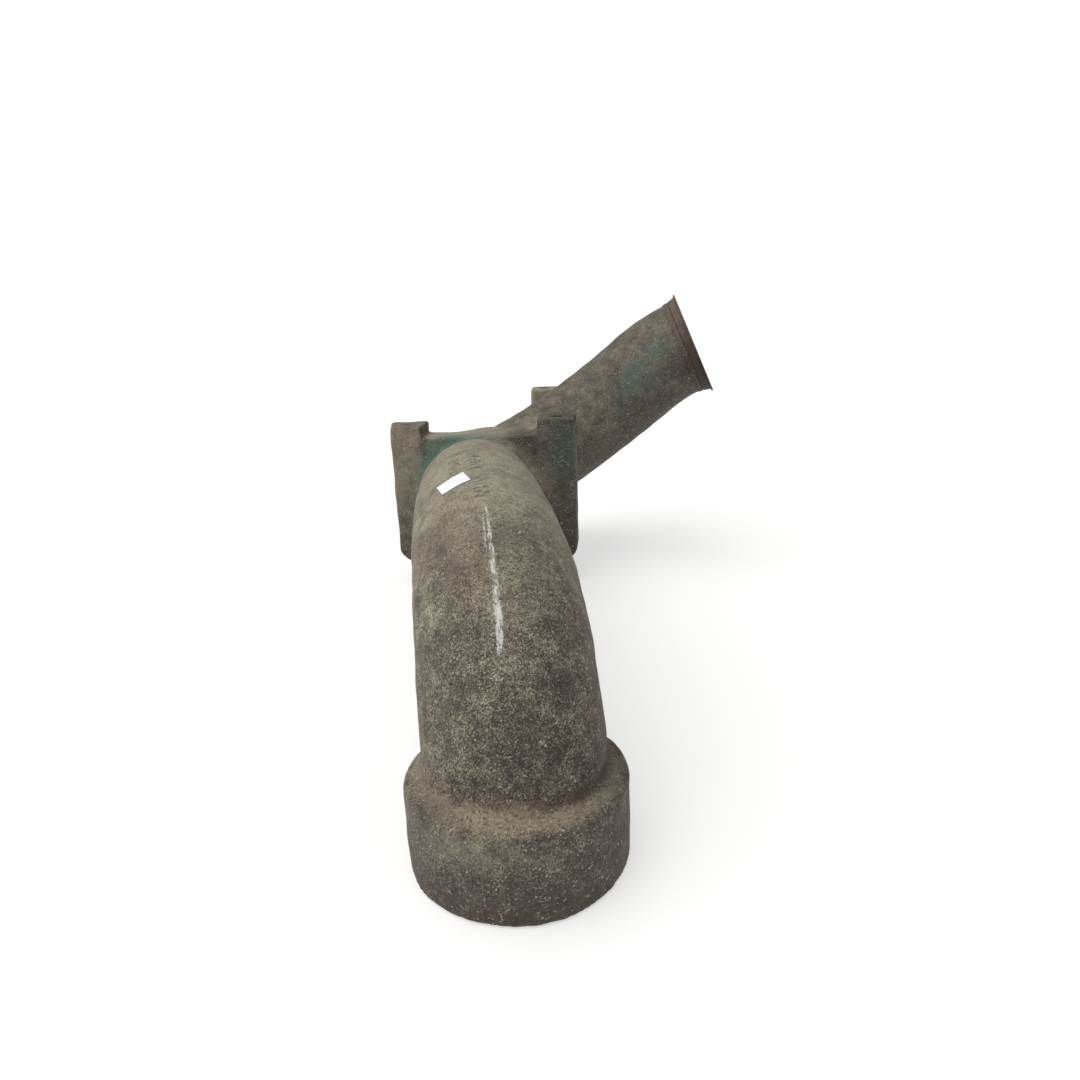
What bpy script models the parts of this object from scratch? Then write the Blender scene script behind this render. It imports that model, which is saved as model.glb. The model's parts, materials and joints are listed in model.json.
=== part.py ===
"""Bracketed pipe elbow: a slip-on bell socket, a long swept inlet bend, a three-post
mounting bracket and an outlet bend that ends in a vee-band flange.

Frame: metres, +Z up. The origin is the centre of the bell's mouth, +Z runs up the bell's
axis and the inlet bend heads off along +Y.
"""

import math

import bmesh
import bpy
from mathutils import Matrix, Vector

MM = 0.001

# ---------------------------------------------------------------- driving dimensions (mm)
PIPE_OD = 102.0  # four-inch tube
PIPE_WALL = 6.0
PIPE_SIDES = 36
SQUARE = 3.0  # straight left at each end of a swept piece
FIT = 0.6  # clearance left round the pipe where another piece is bored for it
GAP = 0.3  # clearance between faces that meet

BELL_OD = 122.0
BELL_HEIGHT = 50.0
BELL_EDGE = 5.0  # radius of the rounded shoulder edge
SOCKET_ID = 110.0
SOCKET_DEPTH = 36.0
GROOVE_LOW = 13.0
GROOVE_HIGH = 19.0
GROOVE_DEPTH = 3.0
SEAL_PROUD = 1.6  # how far the seal ring stands into the socket

# The centreline: straight up the bell, then six tangent bends, then straight to the flange.
START_STRAIGHT = 15.3
BENDS = (
    # centreline radius, heading after the bend (deg from +Y towards +X), elevation after it
    (108.0, 1.6, 26.4),
    (177.0, 1.6, 3.7),
    (858.0, 5.4, -12.8),
    (122.0, 60.4, 18.1),
    (211.0, 108.0, 40.5),
    (184.0, 109.0, 23.7),
)
END_STRAIGHT = 10.3

# The bracket has its own axes: local X runs along its front face, local Y away from it.
BRACKET_AT = (32.2, 419.5, 0.0)
BRACKET_YAW = -14.1
BRACKET_HALF = 93.0
BRACKET_LEFT = 96.5  # the left post stands a little further out than the right one
BRACKET_DEPTH = 40.0
POST_LOW = 26.0
POST_LEFT_TOP = 168.8
POST_RIGHT_TOP = 174.5
POST_LEFT_WIDTH = 32.1
POST_RIGHT_WIDTH = 38.9
POST_CORNER = 6.0
POST_LEFT_CORNER = 3.0
POST_FLARE = 9.0  # the left post widens towards its back
WEB_TOP = 158.5
WEB_DEPTH = 30.0
REAR_POST_AT = (50.7, 177.0)
REAR_POST_SIZE = (32.0, 34.0)
REAR_POST_TOP = 185.2
REAR_GUSSET_WIDTH = 22.0
REAR_GUSSET = (58.0, 156.0)
BOLT_HOLE = 13.5
FOOT_CHAMFER = 8.5

FLANGE_OD = 113.6
FLANGE_LIP = 2.0
FLANGE_LENGTH = 9.7
SLEEVE_OD = 104.8
SLEEVE_LENGTH = 7.0

WELD_LEG = 6.0

LABEL_SIZE = (23.0, 21.0)  # along the pipe, round it
LABEL_THICKNESS = 0.4

# ---------------------------------------------------------------- scene and collections
for old in list(bpy.data.objects):
    bpy.data.objects.remove(old, do_unlink=True)

PARTS = bpy.data.collections.new("bracketed_elbow")
CUTTERS = bpy.data.collections.new("cutters")
bpy.context.scene.collection.children.link(PARTS)
bpy.context.scene.collection.children.link(CUTTERS)
CUTTERS.hide_render = True


def material(name, colour, roughness, metallic=0.0):
    mat = bpy.data.materials.new(name)
    mat.use_nodes = True
    shader = mat.node_tree.nodes["Principled BSDF"]
    shader.inputs["Base Color"].default_value = (*colour, 1.0)
    shader.inputs["Roughness"].default_value = roughness
    shader.inputs["Metallic"].default_value = metallic
    mat.diffuse_color = (*colour, 1.0)
    return mat


CAST = (0.155, 0.132, 0.104)
DARK_CAST = (0.095, 0.082, 0.068)
GREEN_CAST = (0.075, 0.110, 0.090)
RUST = (0.115, 0.062, 0.038)


def finish(obj, mat, smooth=True, collection=PARTS):
    """Links a new object, gives it its own material and shades its round faces smooth."""
    if obj.name not in collection.objects:
        collection.objects.link(obj)
    obj.data.materials.clear()
    obj.data.materials.append(mat)
    if smooth:
        obj.data.shade_smooth()
        obj.data.set_sharp_from_angle(angle=math.radians(35))
    return obj


def as_cutter(obj):
    CUTTERS.objects.link(obj)
    obj.hide_render = True
    obj.display_type = "WIRE"
    return obj


def boolean(obj, other, operation="DIFFERENCE"):
    mod = obj.modifiers.new(f"{operation.lower()}_{other.name}", "BOOLEAN")
    mod.operation = operation
    mod.object = other
    mod.solver = "EXACT"
    return mod


# ---------------------------------------------------------------- the centreline
def direction(heading, elevation):
    h, e = math.radians(heading), math.radians(elevation)
    return Vector((math.sin(h) * math.cos(e), math.cos(h) * math.cos(e), math.sin(e)))


def centreline_pieces():
    """(length, point, tangent, bend radius or None, bend normal) for each run of the path."""
    pieces = []
    point, tangent = Vector((0, 0, 0)), Vector((0, 0, 1))
    pieces.append((START_STRAIGHT, point.copy(), tangent.copy(), None, None))
    point = point + tangent * START_STRAIGHT
    for radius, heading, elevation in BENDS:
        after = direction(heading, elevation)
        cosine = max(-1.0, min(1.0, tangent.dot(after)))
        angle = math.acos(cosine)
        normal = (after - tangent * cosine).normalized()
        pieces.append((radius * angle, point.copy(), tangent.copy(), radius, normal))
        point = point + radius * (
            math.sin(angle) * tangent + (1 - math.cos(angle)) * normal
        )
        tangent = after
    pieces.append((END_STRAIGHT, point.copy(), tangent.copy(), None, None))
    return pieces


PIECES = centreline_pieces()
LENGTH = sum(piece[0] for piece in PIECES)


def along(s):
    """The centreline's point and tangent at arc length s, in mm."""
    start = 0.0
    for i, (length, point, tangent, radius, normal) in enumerate(PIECES):
        if s <= start + length or i == len(PIECES) - 1:
            u = s - start
            if radius is None:
                return point + tangent * u, tangent.copy()
            a = u / radius
            return (
                point + radius * (math.sin(a) * tangent + (1 - math.cos(a)) * normal),
                (math.cos(a) * tangent + math.sin(a) * normal).normalized(),
            )
        start += length
    raise ValueError(s)


def bracket_matrix():
    return Matrix.Translation(Vector(BRACKET_AT) * MM) @ Matrix.Rotation(
        math.radians(BRACKET_YAW), 4, "Z"
    )


def crossing(offset):
    """Arc length at which the centreline crosses the bracket's plane local Y = offset."""
    yaw = math.radians(BRACKET_YAW)
    normal = Vector((-math.sin(yaw), math.cos(yaw), 0))
    low, high = 300.0, LENGTH - 150.0
    for _ in range(60):
        middle = (low + high) / 2
        if (along(middle)[0] - Vector(BRACKET_AT)).dot(normal) < offset:
            low = middle
        else:
            high = middle
    return (low + high) / 2


S_BELL = 36.5
S_RUN = START_STRAIGHT + PIECES[1][0]  # the inlet bend ends and the long run begins
S_SPLIT = crossing(WEB_DEPTH / 2)
S_RISER = 675.0  # the outlet bend ends and the riser to the flange begins
S_PIPE_END = LENGTH - FLANGE_LENGTH - GAP


def stations():
    """Arc lengths of the rings shared by the pipes and by the cutters that clear them."""
    marks = [6.0, S_BELL, S_RUN, S_SPLIT, S_RISER, S_PIPE_END, LENGTH + 20.0]
    start = 0.0
    for length, _, _, radius, _ in PIECES:
        if radius is None:
            count = 1
        else:
            count = max(2, math.ceil(max(length / radius / math.radians(7.5), length / 60)))
        marks += [start + length * i / count for i in range(count + 1)]
        start += length
    marks.sort()
    kept = [marks[0]]
    for s in marks[1:]:
        if s - kept[-1] > 3.0:
            kept.append(s)
        elif s in (S_BELL, S_RUN, S_SPLIT, S_RISER, S_PIPE_END):
            kept[-1] = s
    return [s for s in kept if s >= 6.0]


STATIONS = stations()


def swept(name, s0, s1, radius, cap, radius_end=None, step=None):
    """A round tube surface along the centreline from s0 to s1, as a mesh object."""
    if step:
        count = max(2, math.ceil((s1 - s0) / step))
        inner = [s0 + (s1 - s0) * i / count for i in range(1, count)]
        inner = [s for s in inner if s0 + SQUARE + 2 < s < s1 - SQUARE - 2]
    else:
        inner = [s for s in STATIONS if s0 + 2 * SQUARE < s < s1 - 2 * SQUARE]
    # A short straight at each end keeps the end face square to the centreline.
    p0, t0 = along(s0)
    p1, t1 = along(s1)
    points = [(p0, s0), (p0 + t0 * SQUARE, s0 + SQUARE)]
    points += [(along(s)[0], s) for s in inner]
    points += [(p1 - t1 * SQUARE, s1 - SQUARE), (p1, s1)]
    curve = bpy.data.curves.new(name + "_path", "CURVE")
    curve.dimensions = "3D"
    curve.twist_mode = "MINIMUM"
    spline = curve.splines.new("POLY")
    spline.points.add(len(points) - 1)
    for item, (point, s) in zip(spline.points, points):
        item.co = (*(point * MM), 1.0)
        if radius_end is not None:
            share = (s - s0) / (s1 - s0)
            item.radius = (radius + (radius_end - radius) * share) / radius
    curve.bevel_depth = radius * MM
    curve.bevel_resolution = (PIPE_SIDES - 4) // 2
    curve.use_fill_caps = cap
    guide = bpy.data.objects.new(name + "_guide", curve)
    bpy.context.scene.collection.objects.link(guide)
    graph = bpy.context.evaluated_depsgraph_get()
    mesh = bpy.data.meshes.new_from_object(guide.evaluated_get(graph))
    mesh.name = name
    bpy.data.objects.remove(guide, do_unlink=True)
    bpy.data.curves.remove(curve)
    edit = bmesh.new()
    edit.from_mesh(mesh)
    bmesh.ops.remove_doubles(edit, verts=edit.verts, dist=1e-6)
    bmesh.ops.recalc_face_normals(edit, faces=edit.faces)
    edit.to_mesh(mesh)
    edit.free()
    return bpy.data.objects.new(name, mesh)


def hollow(obj, wall):
    mod = obj.modifiers.new("wall", "SOLIDIFY")
    mod.thickness = wall * MM
    mod.offset = -1.0
    mod.use_even_offset = True
    mod.use_rim = True
    return obj


def turned(name, profile, steps=48):
    """A profile of (radius, height) in mm turned round local Z."""
    mesh = bpy.data.meshes.new(name)
    edit = bmesh.new()
    verts = [edit.verts.new((r * MM, 0, z * MM)) for r, z in profile]
    for a, b in zip(verts, verts[1:] + verts[:1]):
        edit.edges.new((a, b))
    edit.to_mesh(mesh)
    edit.free()
    obj = bpy.data.objects.new(name, mesh)
    screw = obj.modifiers.new("turn", "SCREW")
    screw.steps = steps
    screw.render_steps = steps
    screw.use_merge_vertices = True
    screw.merge_threshold = 0.00001
    screw.use_smooth_shade = True
    screw.use_normal_calculate = False
    return obj


def block(name, low, high):
    """A box between two corners in mm, in its object's own axes."""
    mesh = bpy.data.meshes.new(name)
    edit = bmesh.new()
    bmesh.ops.create_cube(edit, size=1.0)
    size = [(b - a) * MM for a, b in zip(low, high)]
    middle = [(a + b) / 2 * MM for a, b in zip(low, high)]
    bmesh.ops.scale(edit, vec=size, verts=edit.verts)
    bmesh.ops.translate(edit, vec=middle, verts=edit.verts)
    edit.to_mesh(mesh)
    edit.free()
    return bpy.data.objects.new(name, mesh)


def round_upright_edges(obj, chosen, radius, segments=3):
    """Rounds the upright edges of a box whose local XY position passes the test."""
    edit = bmesh.new()
    edit.from_mesh(obj.data)
    edges = []
    for edge in edit.edges:
        a, b = edge.verts[0].co, edge.verts[1].co
        if abs(a.x - b.x) < 1e-7 and abs(a.y - b.y) < 1e-7 and chosen(a.x / MM, a.y / MM):
            edges.append(edge)
    bmesh.ops.bevel(
        edit,
        geom=edges,
        offset=radius * MM,
        offset_type="OFFSET",
        segments=segments,
        profile=0.5,
        affect="EDGES",
    )
    edit.to_mesh(obj.data)
    edit.free()


def rod(name, radius, low, high, sides=20):
    mesh = bpy.data.meshes.new(name)
    edit = bmesh.new()
    bmesh.ops.create_cone(
        edit,
        cap_ends=True,
        segments=sides,
        radius1=radius * MM,
        radius2=radius * MM,
        depth=(high - low) * MM,
    )
    bmesh.ops.translate(edit, vec=(0, 0, (low + high) / 2 * MM), verts=edit.verts)
    edit.to_mesh(mesh)
    edit.free()
    return bpy.data.objects.new(name, mesh)


# ---------------------------------------------------------------- shared cutters
pipe_cutter = as_cutter(swept("pipe_cutter", 8.0, S_PIPE_END, PIPE_OD / 2 + FIT, True))
inlet_cutter = as_cutter(
    swept("inlet_cutter", 8.0, crossing(-60.0), PIPE_OD / 2 + FIT, True)
)

# ---------------------------------------------------------------- bell socket
outer, socket = BELL_OD / 2, SOCKET_ID / 2
edge = [
    (
        outer - BELL_EDGE + BELL_EDGE * math.cos(math.radians(a)),
        BELL_HEIGHT - BELL_EDGE + BELL_EDGE * math.sin(math.radians(a)),
    )
    for a in (90, 68, 45, 22, 0)
]
bell = turned(
    "inlet_bell",
    edge
    + [
        (outer, 1.0),
        (outer - 0.3, 0.3),
        (outer - 1.0, 0.0),
        (socket + 1.5, 0.0),
        (socket, 1.5),
        (socket, GROOVE_LOW),
        (socket + GROOVE_DEPTH, GROOVE_LOW),
        (socket + GROOVE_DEPTH, GROOVE_HIGH),
        (socket, GROOVE_HIGH),
        (socket, SOCKET_DEPTH),
        (PIPE_OD / 2 - 12, SOCKET_DEPTH),
        (PIPE_OD / 2 - 12, BELL_HEIGHT),
    ],
)
finish(bell, material("bell_cast", CAST, 0.85))
boolean(bell, inlet_cutter)

seal = turned(
    "bell_seal_ring",
    [
        (socket + GROOVE_DEPTH - GAP, GROOVE_HIGH - GAP),
        (socket + GROOVE_DEPTH - GAP, GROOVE_LOW + GAP),
        (socket - SEAL_PROUD + 0.8, GROOVE_LOW + GAP),
        (socket - SEAL_PROUD, (GROOVE_LOW + GROOVE_HIGH) / 2 - 1.2),
        (socket - SEAL_PROUD, (GROOVE_LOW + GROOVE_HIGH) / 2 + 1.2),
        (socket - SEAL_PROUD + 0.8, GROOVE_HIGH - GAP),
    ],
)
finish(seal, material("seal_rubber", (0.02, 0.02, 0.022), 0.6))

# The fillet bead where the bend leaves the bell's shoulder. Its middle is set back
# because the bend has already begun to lean there.
neck = turned(
    "neck_weld",
    [
        (54.4, 5.2),
        (55.0, 3.4),
        (57.0, 0.6),
        (57.2, 0.0),
        (40.0, 0.0),
        (40.0, 5.2),
    ],
)
neck.location = (0, 2.6 * MM, (BELL_HEIGHT + GAP) * MM)
finish(neck, material("neck_cast", CAST, 0.9))
boolean(neck, inlet_cutter)

# ---------------------------------------------------------------- pipes
for name, s0, s1 in (
    ("inlet_bend", S_BELL, S_RUN - 0.3),
    ("inlet_run", S_RUN + 0.3, S_SPLIT - 0.4),
    ("outlet_bend", S_SPLIT + 0.4, S_RISER - 0.3),
    ("outlet_riser", S_RISER + 0.3, S_PIPE_END),
):
    run = hollow(swept(name, s0, s1, PIPE_OD / 2, False), PIPE_WALL)
    finish(run, material(name + "_cast", CAST, 0.85))

# ---------------------------------------------------------------- bracket
bracket = bpy.data.objects.new("bracket_axes", None)
bracket.empty_display_size = 0.05
PARTS.objects.link(bracket)
bracket.matrix_world = bracket_matrix()


def on_bracket(obj):
    obj.parent = bracket
    return obj


def bolt_hole(obj, x, y):
    cutter = on_bracket(as_cutter(rod(obj.name + "_bolt", BOLT_HOLE / 2, 20.0, 230.0)))
    cutter.location = (x * MM, y * MM, 0)
    boolean(obj, cutter)


def foot_chamfer(obj, outer_face):
    """Cuts the outer lower corner of a front post at 45 degrees, with one face of a turned box."""
    size = 20.0
    cutter = on_bracket(
        as_cutter(block(obj.name + "_foot", (-size, -10, -size), (size, BRACKET_DEPTH + 10, size)))
    )
    side = math.copysign(1.0, outer_face)
    back = size / math.sqrt(2)
    cutter.location = (
        (outer_face + side * (back - FOOT_CHAMFER / 2)) * MM,
        0,
        (POST_LOW + FOOT_CHAMFER / 2 - back) * MM,
    )
    cutter.rotation_euler = (0, math.radians(45), 0)
    boolean(obj, cutter)


left_inner = -BRACKET_LEFT + POST_LEFT_WIDTH
right_inner = BRACKET_HALF - POST_RIGHT_WIDTH

web = on_bracket(
    block(
        "bracket_web",
        (left_inner + GAP, 0.0, POST_LOW),
        (right_inner - GAP, WEB_DEPTH, WEB_TOP),
    )
)
finish(web, material("web_cast", GREEN_CAST, 0.8))
boolean(web, pipe_cutter)

post_left = on_bracket(
    block("post_front_left", (-BRACKET_LEFT, 0, POST_LOW), (left_inner, BRACKET_DEPTH, POST_LEFT_TOP))
)
for vert in post_left.data.vertices:
    if vert.co.x < left_inner * MM - 0.001 and vert.co.y > 0.001:
        vert.co.x -= POST_FLARE * MM
round_upright_edges(post_left, lambda x, y: x < left_inner - 1, POST_LEFT_CORNER)
finish(post_left, material("post_left_cast", DARK_CAST, 0.8))
boolean(post_left, pipe_cutter)
bolt_hole(post_left, left_inner - POST_LEFT_WIDTH / 2, BRACKET_DEPTH / 2)
foot_chamfer(post_left, -BRACKET_LEFT)

post_right = on_bracket(
    block("post_front_right", (right_inner, 0, POST_LOW), (BRACKET_HALF, BRACKET_DEPTH, POST_RIGHT_TOP))
)
round_upright_edges(post_right, lambda x, y: x > right_inner + 1, POST_CORNER)
finish(post_right, material("post_right_cast", GREEN_CAST, 0.75))
boolean(post_right, pipe_cutter)
bolt_hole(post_right, right_inner + POST_RIGHT_WIDTH / 2, BRACKET_DEPTH / 2)
foot_chamfer(post_right, BRACKET_HALF)

rx, ry = REAR_POST_AT
rw, rd = REAR_POST_SIZE
post_rear = on_bracket(
    block(
        "post_rear",
        (rx - rw / 2, ry - rd / 2, POST_LOW),
        (rx + rw / 2, ry + rd / 2, REAR_POST_TOP),
    )
)
round_upright_edges(post_rear, lambda x, y: True, 6.0)
finish(post_rear, material("post_rear_cast", RUST, 0.85))
boolean(post_rear, pipe_cutter)
bolt_hole(post_rear, rx, ry + 1.0)

gusset = on_bracket(
    block(
        "rear_gusset",
        (rx - REAR_GUSSET_WIDTH / 2, ry - rd / 2 - 46.0, REAR_GUSSET[0]),
        (rx + REAR_GUSSET_WIDTH / 2, ry - rd / 2 - GAP, REAR_GUSSET[1]),
    )
)
finish(gusset, material("gusset_cast", DARK_CAST, 0.85))
boolean(gusset, pipe_cutter)

# Fillet beads round the pipe where it enters and leaves the bracket.
s_front, s_back = crossing(0.0), crossing(WEB_DEPTH)
front_weld = swept(
    "front_weld", s_front - 12.0, s_front + 14.0, PIPE_OD / 2 + 1.4, True,
    PIPE_OD / 2 + 1.4 + WELD_LEG * 26 / 12, step=4.0,
)
finish(front_weld, material("front_weld_green", (0.05, 0.13, 0.11), 0.6))
behind_front = on_bracket(
    as_cutter(block("behind_front", (-150, -GAP, -50), (150, 120, 300)))
)
boolean(front_weld, behind_front)
boolean(front_weld, pipe_cutter)

rear_weld = swept(
    "rear_weld", s_back - 14.0, s_back + 12.0, PIPE_OD / 2 + 1.4 + WELD_LEG * 26 / 12, True,
    PIPE_OD / 2 + 1.4, step=4.0,
)
finish(rear_weld, material("rear_weld_cast", DARK_CAST, 0.85))
ahead_of_back = on_bracket(
    as_cutter(block("ahead_of_back", (-150, -80, -50), (150, WEB_DEPTH + GAP, 300)))
)
boolean(rear_weld, ahead_of_back)
boolean(rear_weld, pipe_cutter)
for obj, x0, x1 in (("beside_left_post", -150, left_inner), ("beside_right_post", right_inner, 150)):
    beside = on_bracket(
        as_cutter(block(obj, (x0 - GAP, -20, 0), (x1 + GAP, BRACKET_DEPTH + GAP, 240)))
    )
    boolean(rear_weld, beside)

# ---------------------------------------------------------------- outlet flange
end_point, end_tangent = along(LENGTH)
end_matrix = Matrix.Translation(end_point * MM) @ end_tangent.to_track_quat(
    "Z", "Y"
).to_matrix().to_4x4()
bore = PIPE_OD / 2 - PIPE_WALL
flange = turned(
    "outlet_vee_flange",
    [
        (FLANGE_OD / 2 - 0.6, 0.0),
        (FLANGE_OD / 2, -0.6),
        (FLANGE_OD / 2, -FLANGE_LIP),
        (SLEEVE_OD / 2 + 1.6, -FLANGE_LIP - 0.9),
        (SLEEVE_OD / 2 + 0.4, -FLANGE_LENGTH + 1.5),
        (SLEEVE_OD / 2, -FLANGE_LENGTH),
        (bore, -FLANGE_LENGTH),
        (bore, 0.0),
    ],
)
finish(flange, material("flange_rust", RUST, 0.7, 0.4))
flange.matrix_world = end_matrix

sleeve = turned(
    "outlet_sleeve",
    [
        (SLEEVE_OD / 2, -FLANGE_LENGTH - GAP),
        (SLEEVE_OD / 2, -FLANGE_LENGTH - SLEEVE_LENGTH + 0.4),
        (SLEEVE_OD / 2 - 0.4, -FLANGE_LENGTH - SLEEVE_LENGTH),
        (PIPE_OD / 2 + FIT, -FLANGE_LENGTH - SLEEVE_LENGTH),
        (PIPE_OD / 2 + FIT, -FLANGE_LENGTH - GAP),
    ],
)
finish(sleeve, material("sleeve_steel", DARK_CAST, 0.7, 0.3))
sleeve.matrix_world = end_matrix

# ---------------------------------------------------------------- stock label
LABEL_AT = 220.0  # arc length of its middle
LABEL_TURN = -23.9  # degrees round the pipe from its crown, towards -X
LABEL_SKEW = -10.0  # degrees in its own plane


def label_surface():
    """A small sheet bent round the pipe, just clear of it."""
    edit = bmesh.new()
    bmesh.ops.create_grid(edit, x_segments=3, y_segments=8, size=0.5)
    skew = math.radians(LABEL_SKEW)
    for vert in edit.verts:
        u = vert.co.x * LABEL_SIZE[0]
        v = vert.co.y * LABEL_SIZE[1]
        u, v = u * math.cos(skew) - v * math.sin(skew), u * math.sin(skew) + v * math.cos(skew)
        point, tangent = along(LABEL_AT + u)
        side = tangent.cross(Vector((0, 0, 1))).normalized()
        up = side.cross(tangent).normalized()
        radius = PIPE_OD / 2 + FIT
        turn = math.radians(LABEL_TURN) + v / radius
        vert.co = (point + (up * math.cos(turn) + side * math.sin(turn)) * radius) * MM
    bmesh.ops.recalc_face_normals(edit, faces=edit.faces)
    mesh = bpy.data.meshes.new("stock_label")
    edit.to_mesh(mesh)
    edit.free()
    return mesh


label = bpy.data.objects.new("stock_label", label_surface())
sheet = label.modifiers.new("paper", "SOLIDIFY")
sheet.thickness = LABEL_THICKNESS * MM
sheet.offset = 1.0
finish(label, material("label_paper", (0.78, 0.78, 0.80), 0.55), smooth=False)
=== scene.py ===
"""Looks for the bracketed pipe elbow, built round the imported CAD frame.

The whole casting is described once as a signed distance field in millimetres (swept pipe,
turned bell, rounded bracket blocks, blended with fillets and bored out), meshed finely and
then cut into separate closed pieces, one for each real sub-part or group of beads.
"""

import json
import math

import bmesh
import bpy
import numpy as np
import openvdb
from mathutils import Matrix, Vector

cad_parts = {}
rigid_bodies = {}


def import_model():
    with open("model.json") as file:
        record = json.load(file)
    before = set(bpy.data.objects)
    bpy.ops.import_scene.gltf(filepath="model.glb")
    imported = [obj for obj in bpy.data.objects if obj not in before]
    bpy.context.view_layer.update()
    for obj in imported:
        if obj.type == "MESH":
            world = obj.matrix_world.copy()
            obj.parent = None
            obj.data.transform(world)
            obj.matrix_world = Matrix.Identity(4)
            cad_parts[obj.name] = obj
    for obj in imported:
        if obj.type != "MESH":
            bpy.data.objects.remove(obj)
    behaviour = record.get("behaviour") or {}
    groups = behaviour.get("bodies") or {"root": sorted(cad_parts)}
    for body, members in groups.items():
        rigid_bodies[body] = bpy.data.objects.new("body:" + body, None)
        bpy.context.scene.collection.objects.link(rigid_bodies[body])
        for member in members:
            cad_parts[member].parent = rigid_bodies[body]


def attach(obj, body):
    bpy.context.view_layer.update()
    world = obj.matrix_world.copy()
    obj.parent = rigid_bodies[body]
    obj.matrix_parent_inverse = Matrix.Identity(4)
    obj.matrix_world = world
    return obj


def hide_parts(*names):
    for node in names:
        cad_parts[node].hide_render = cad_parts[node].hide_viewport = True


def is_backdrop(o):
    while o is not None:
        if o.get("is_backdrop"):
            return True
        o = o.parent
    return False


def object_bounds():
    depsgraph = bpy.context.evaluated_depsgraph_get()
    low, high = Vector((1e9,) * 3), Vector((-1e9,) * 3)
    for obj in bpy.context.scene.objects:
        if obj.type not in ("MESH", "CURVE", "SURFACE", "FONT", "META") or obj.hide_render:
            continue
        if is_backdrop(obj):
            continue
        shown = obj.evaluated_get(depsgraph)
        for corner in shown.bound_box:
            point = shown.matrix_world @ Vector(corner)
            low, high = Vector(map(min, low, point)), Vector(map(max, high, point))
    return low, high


for old in list(bpy.data.objects):
    bpy.data.objects.remove(old, do_unlink=True)

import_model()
low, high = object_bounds()
CAD_BOX = [[float(v) for v in low], [float(v) for v in high]]

# ------------------------------------------------------------------ dimensions, mm
PIPE_R, BORE_R = 51.0, 45.0
BELL_R, BELL_H, SOCKET_R, SOCKET_D = 61.0, 50.0, 55.0, 36.0
START = 15.3
BENDS = (
    (108.0, 1.6, 26.4),
    (177.0, 1.6, 3.7),
    (858.0, 5.4, -12.8),
    (122.0, 60.4, 18.1),
    (211.0, 108.0, 40.5),
    (184.0, 109.0, 23.7),
)
END = 10.3
FLANGE_LENGTH = 9.7
AT = np.array((32.2, 419.5, 0.0))
YAW = math.radians(-14.1)
EX = np.array((math.cos(YAW), math.sin(YAW), 0.0))
EY = np.array((-math.sin(YAW), math.cos(YAW), 0.0))
LEFT, LEFT_IN, RIGHT_IN, RIGHT = -96.5, -64.4, 54.1, 93.0
POST_LOW, TOP_LEFT, TOP_RIGHT, WEB_TOP, WEB_DEEP, POST_DEEP = 26.0, 168.8, 174.5, 158.5, 30.0, 40.0
BELL_TILT = 0.05  # the shoulder is cast a little higher on the side away from the bend
REAR = (34.7, 66.7, 160.0, 194.0, 185.2)
BOLTS = ((-80.45, 20.0), (73.55, 20.0), (50.7, 178.0))
VOXEL = 1.76


# ------------------------------------------------------------------ centreline
def heading(h, e):
    h, e = math.radians(h), math.radians(e)
    return np.array((math.sin(h) * math.cos(e), math.cos(h) * math.cos(e), math.sin(e)))


def path_pieces():
    p, t, s = np.zeros(3), np.array((0.0, 0.0, 1.0)), 0.0
    out = [(s, START, p, t, None, None)]
    p, s = p + t * START, s + START
    for r, h, e in BENDS:
        after = heading(h, e)
        c = float(np.clip(t @ after, -1, 1))
        a = math.acos(c)
        n = (after - t * c) / np.linalg.norm(after - t * c)
        out.append((s, r * a, p, t, r, n))
        p = p + r * (math.sin(a) * t + (1 - math.cos(a)) * n)
        t, s = after, s + r * a
    out.append((s, END + 40.0, p, t, None, None))
    return out


PATH = path_pieces()
LENGTH = PATH[-1][0] + END
S_PIPE_END = LENGTH - FLANGE_LENGTH - 0.3


def along(s):
    for start, length, p, t, r, n in PATH:
        if s <= start + length or start == PATH[-1][0]:
            u = s - start
            if r is None:
                return p + t * u, t
            a = u / r
            return p + r * (math.sin(a) * t + (1 - math.cos(a)) * n), math.cos(a) * t + math.sin(a) * n


def path_distance(P):
    """Distance to the centreline, and the arc length of the nearest point."""
    best = np.full(len(P), 1e9)
    arc = np.zeros(len(P))
    for start, length, p, t, r, n in PATH:
        q = P - p
        if r is None:
            u = np.clip(q @ t, 0, length)
            near = p + u[:, None] * t
            s = start + u
        else:
            c = q - r * n
            a = np.arctan2(c @ t, -(c @ n))
            a = np.where(a < -math.pi / 2, a + 2 * math.pi, a)
            a = np.clip(a, 0, length / r)
            near = p + r * (np.sin(a)[:, None] * t + (1 - np.cos(a))[:, None] * n)
            s = start + r * a
        d = np.linalg.norm(P - near, axis=1)
        closer = d < best
        best[closer] = d[closer]
        arc[closer] = s[closer]
    return best, arc


# ------------------------------------------------------------------ field pieces
def smin(a, b, k):
    h = np.maximum(k - np.abs(a - b), 0) / k
    return np.minimum(a, b) - h * h * k / 4


def smax(a, b, k):
    return -smin(-a, -b, k)


def slab(x, y, z, x0, x1, y0, y1, z0, z1, corner, edge):
    """An upright block: corner rounds its upright edges, edge rounds its top and foot."""
    qx = np.abs(x - (x0 + x1) / 2) - ((x1 - x0) / 2 - corner)
    qy = np.abs(y - (y0 + y1) / 2) - ((y1 - y0) / 2 - corner)
    d = np.hypot(np.maximum(qx, 0), np.maximum(qy, 0)) + np.minimum(np.maximum(qx, qy), 0) - corner
    qz = np.abs(z - (z0 + z1) / 2) - ((z1 - z0) / 2 - edge)
    d = d + edge
    return np.hypot(np.maximum(d, 0), np.maximum(qz, 0)) + np.minimum(np.maximum(d, qz), 0) - edge


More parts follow.
